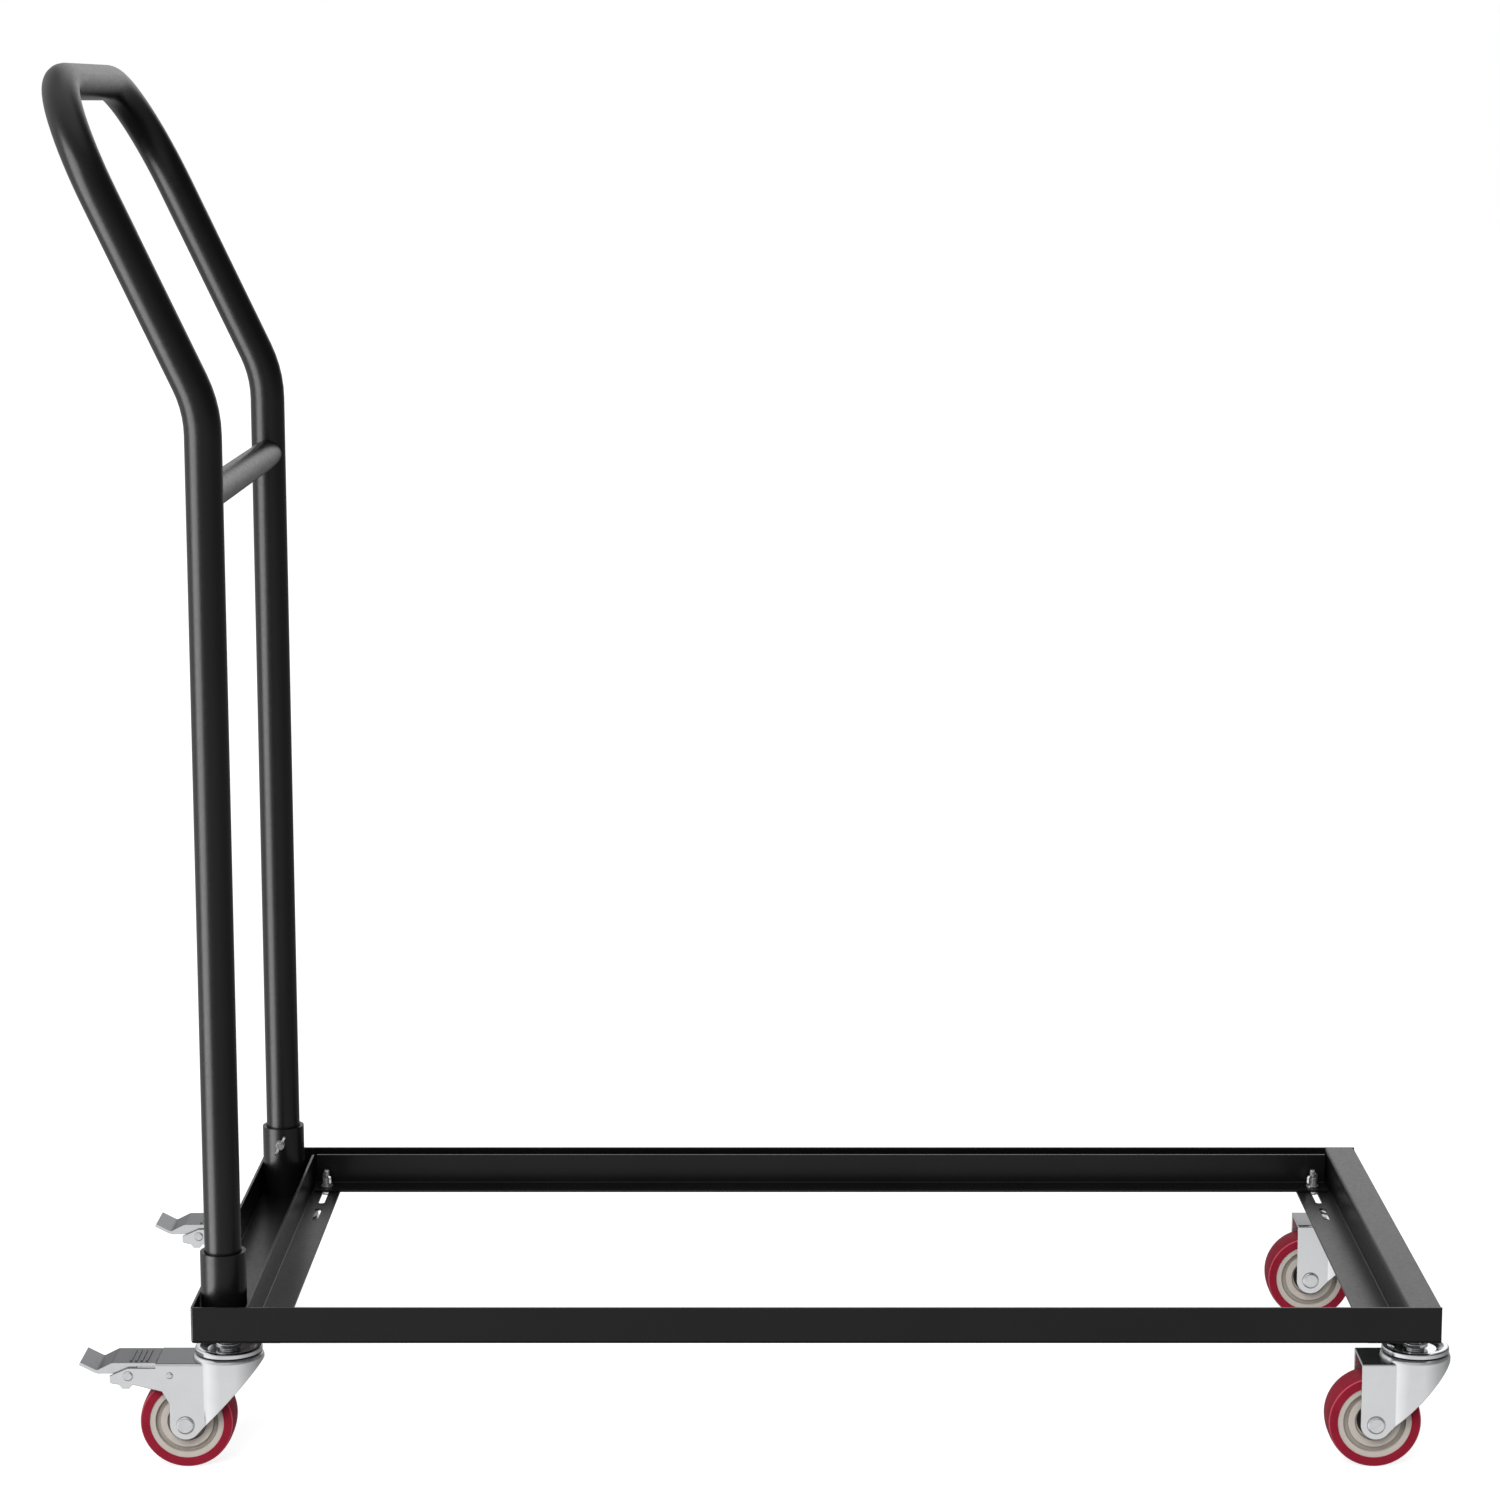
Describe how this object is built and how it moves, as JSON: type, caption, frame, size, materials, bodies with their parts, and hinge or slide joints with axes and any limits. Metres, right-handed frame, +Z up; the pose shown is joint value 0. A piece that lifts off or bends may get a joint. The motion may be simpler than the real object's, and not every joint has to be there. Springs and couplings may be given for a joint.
{
  "type": "folding chair cart",
  "caption": "Low steel cart for folded chairs: rectangular base with an adjustable foot rail, a lift-out bent tube handle at one end, and swivel casters, braked at the handle end.",
  "frame": {"origin": "on the floor under the middle of the cart's outline, handle and casters included", "axes": "+X along the cart from the handle end to the toe end, +Y across it to the back rail with the inner rail, +Z up"},
  "size_m": [1.125, 0.48, 1.123],
  "materials": {
    "black_powder_coat": "satin black powder coat",
    "bright_zinc": "bright zinc plate",
    "chrome_rim": "polished",
    "bearing_steel": "ground",
    "seal_black": "nitrile rubber seals on ball bearings",
    "red_tread": "satin moulded polyurethane",
    "stone_hub": "matt moulded plastic"
  },
  "bodies": {
    "base_frame": {"front_side_rail": "black_powder_coat", "back_side_rail": "black_powder_coat", "handle_end_tray": "black_powder_coat", "handle_end_angle": "black_powder_coat", "toe_end_rail": "black_powder_coat", "toe_caster_plates": "black_powder_coat", "handle_sockets": "black_powder_coat", "caster_stems": "bright_zinc", "upper_races": "chrome_rim", "lower_races": "bright_zinc", "stem_jam_nuts": "bright_zinc", "stem_top_nuts": "bright_zinc", "swivel_balls": "bearing_steel"},
    "handle": {"handle_tube": "black_powder_coat", "cross_bar": "black_powder_coat"},
    "inner_rail": {"inner_rail": "black_powder_coat", "clamp_bolts": "bright_zinc"},
    "front_wing_screw_stud": {"front_wing_screw_stud": "bright_zinc"},
    "front_wing_screw_head": {"front_wing_screw_head": "bright_zinc"},
    "back_wing_screw_stud": {"back_wing_screw_stud": "bright_zinc"},
    "back_wing_screw_head": {"back_wing_screw_head": "bright_zinc"},
    "handle_end_clamp_washer": {"handle_end_clamp_washer": "bright_zinc"},
    "handle_end_wing_nut": {"handle_end_wing_nut": "bright_zinc"},
    "toe_end_clamp_washer": {"toe_end_clamp_washer": "bright_zinc"},
    "toe_end_wing_nut": {"toe_end_wing_nut": "bright_zinc"},
    "handle_front_swivel": {"handle_front_yoke": "bright_zinc", "handle_front_axle_bolt": "bright_zinc", "handle_front_axle_fittings": "bright_zinc", "handle_front_brake_rivets": "bright_zinc"},
    "handle_front_wheel": {"handle_front_tyre": "red_tread", "handle_front_hub": "stone_hub", "handle_front_wheel_bearings": "seal_black"},
    "handle_front_brake_pedal": {"handle_front_brake_pedal": "bright_zinc"},
    "handle_front_brake_shoe": {"handle_front_brake_shoe": "bright_zinc"},
    "handle_back_swivel": {"handle_back_yoke": "bright_zinc", "handle_back_axle_bolt": "bright_zinc", "handle_back_axle_fittings": "bright_zinc", "handle_back_brake_rivets": "bright_zinc"},
    "handle_back_wheel": {"handle_back_tyre": "red_tread", "handle_back_hub": "stone_hub", "handle_back_wheel_bearings": "seal_black"},
    "handle_back_brake_pedal": {"handle_back_brake_pedal": "bright_zinc"},
    "handle_back_brake_shoe": {"handle_back_brake_shoe": "bright_zinc"},
    "toe_front_swivel": {"toe_front_yoke": "bright_zinc", "toe_front_axle_bolt": "bright_zinc", "toe_front_axle_fittings": "bright_zinc"},
    "toe_front_wheel": {"toe_front_tyre": "red_tread", "toe_front_hub": "stone_hub", "toe_front_wheel_bearings": "seal_black"},
    "toe_back_swivel": {"toe_back_yoke": "bright_zinc", "toe_back_axle_bolt": "bright_zinc", "toe_back_axle_fittings": "bright_zinc"},
    "toe_back_wheel": {"toe_back_tyre": "red_tread", "toe_back_hub": "stone_hub", "toe_back_wheel_bearings": "seal_black"}
  },
  "joints": [
    {"name": "handle_lift", "type": "slide", "parent": "base_frame", "child": "handle", "axis": [0, 0, 1], "range_m": [0, 0.065]},
    {"name": "rail_slide", "type": "slide", "parent": "base_frame", "child": "inner_rail", "axis": [0, -1, 0], "range_m": [0, 0.045]},
    {"name": "front_stud_travel", "type": "slide", "parent": "base_frame", "child": "front_wing_screw_stud", "axis": [0, 1, 0], "range_m": [0, 0.0024]},
    {"name": "front_wing_turn", "type": "hinge", "parent": "front_wing_screw_stud", "child": "front_wing_screw_head", "pos_m": [-0.43088, -0.176, 0.165], "axis": [0, 1, 0], "range_deg": [0, 1080]},
    {"name": "back_stud_travel", "type": "slide", "parent": "base_frame", "child": "back_wing_screw_stud", "axis": [0, -1, 0], "range_m": [0, 0.0024]},
    {"name": "back_wing_turn", "type": "hinge", "parent": "back_wing_screw_stud", "child": "back_wing_screw_head", "pos_m": [-0.43088, 0.168, 0.165], "axis": [0, -1, 0], "range_deg": [0, 1080]},
    {"name": "handle_end_washer_rise", "type": "slide", "parent": "inner_rail", "child": "handle_end_clamp_washer", "axis": [0, 0, 1], "range_m": [0, 0.0024]},
    {"name": "handle_end_nut_turn", "type": "hinge", "parent": "handle_end_clamp_washer", "child": "handle_end_wing_nut", "pos_m": [-0.39363, 0.20125, 0.1182], "axis": [0, 0, 1], "range_deg": [0, 1080]},
    {"name": "toe_end_washer_rise", "type": "slide", "parent": "inner_rail", "child": "toe_end_clamp_washer", "axis": [0, 0, 1], "range_m": [0, 0.0024]},
    {"name": "toe_end_nut_turn", "type": "hinge", "parent": "toe_end_clamp_washer", "child": "toe_end_wing_nut", "pos_m": [0.50472, 0.20125, 0.1182], "axis": [0, 0, 1], "range_deg": [0, 1080]},
    {"name": "handle_front_swivel_turn", "type": "hinge", "parent": "base_frame", "child": "handle_front_swivel", "pos_m": [-0.42797, -0.198, 0.088], "axis": [0, 0, 1], "continuous": true},
    {"name": "handle_front_wheel_roll", "type": "hinge", "parent": "handle_front_swivel", "child": "handle_front_wheel", "pos_m": [-0.46137, -0.198, 0.0381], "axis": [0, 1, 0], "continuous": true},
    {"name": "handle_front_pedal_tilt", "type": "hinge", "parent": "handle_front_swivel", "child": "handle_front_brake_pedal", "pos_m": [-0.50677, -0.198, 0.0794], "axis": [0, -1, 0], "range_deg": [0, 11]},
    {"name": "handle_front_shoe_press", "type": "hinge", "parent": "handle_front_swivel", "child": "handle_front_brake_shoe", "pos_m": [-0.47317, -0.198, 0.07989], "axis": [0, -1, 0], "range_deg": [0, 5.5]},
    {"name": "handle_back_swivel_turn", "type": "hinge", "parent": "base_frame", "child": "handle_back_swivel", "pos_m": [-0.42797, 0.19, 0.088], "axis": [0, 0, 1], "continuous": true},
    {"name": "handle_back_wheel_roll", "type": "hinge", "parent": "handle_back_swivel", "child": "handle_back_wheel", "pos_m": [-0.46137, 0.19, 0.0381], "axis": [0, 1, 0], "continuous": true},
    {"name": "handle_back_pedal_tilt", "type": "hinge", "parent": "handle_back_swivel", "child": "handle_back_brake_pedal", "pos_m": [-0.50677, 0.19, 0.0794], "axis": [0, -1, 0], "range_deg": [0, 11]},
    {"name": "handle_back_shoe_press", "type": "hinge", "parent": "handle_back_swivel", "child": "handle_back_brake_shoe", "pos_m": [-0.47317, 0.19, 0.07989], "axis": [0, -1, 0], "range_deg": [0, 5.5]},
    {"name": "toe_front_swivel_turn", "type": "hinge", "parent": "base_frame", "child": "toe_front_swivel", "pos_m": [0.53402, -0.198, 0.088], "axis": [0, 0, 1], "continuous": true},
    {"name": "toe_front_wheel_roll", "type": "hinge", "parent": "toe_front_swivel", "child": "toe_front_wheel", "pos_m": [0.50062, -0.198, 0.0381], "axis": [0, 1, 0], "continuous": true},
    {"name": "toe_back_swivel_turn", "type": "hinge", "parent": "base_frame", "child": "toe_back_swivel", "pos_m": [0.53402, 0.19, 0.088], "axis": [0, 0, 1], "continuous": true},
    {"name": "toe_back_wheel_roll", "type": "hinge", "parent": "toe_back_swivel", "child": "toe_back_wheel", "pos_m": [0.50062, 0.19, 0.0381], "axis": [0, 1, 0], "continuous": true}
  ],
  "couplings": [
    {"joint": "front_stud_travel", "follows": "front_wing_turn", "m_per_rad": 0.00012732},
    {"joint": "back_stud_travel", "follows": "back_wing_turn", "m_per_rad": 0.00012732},
    {"joint": "handle_end_washer_rise", "follows": "handle_end_nut_turn", "m_per_rad": 0.00012732},
    {"joint": "toe_end_washer_rise", "follows": "toe_end_nut_turn", "m_per_rad": 0.00012732},
    {"joint": "handle_front_shoe_press", "follows": "handle_front_pedal_tilt", "ratio": 0.5},
    {"joint": "handle_back_shoe_press", "follows": "handle_back_pedal_tilt", "ratio": 0.5}
  ]
}
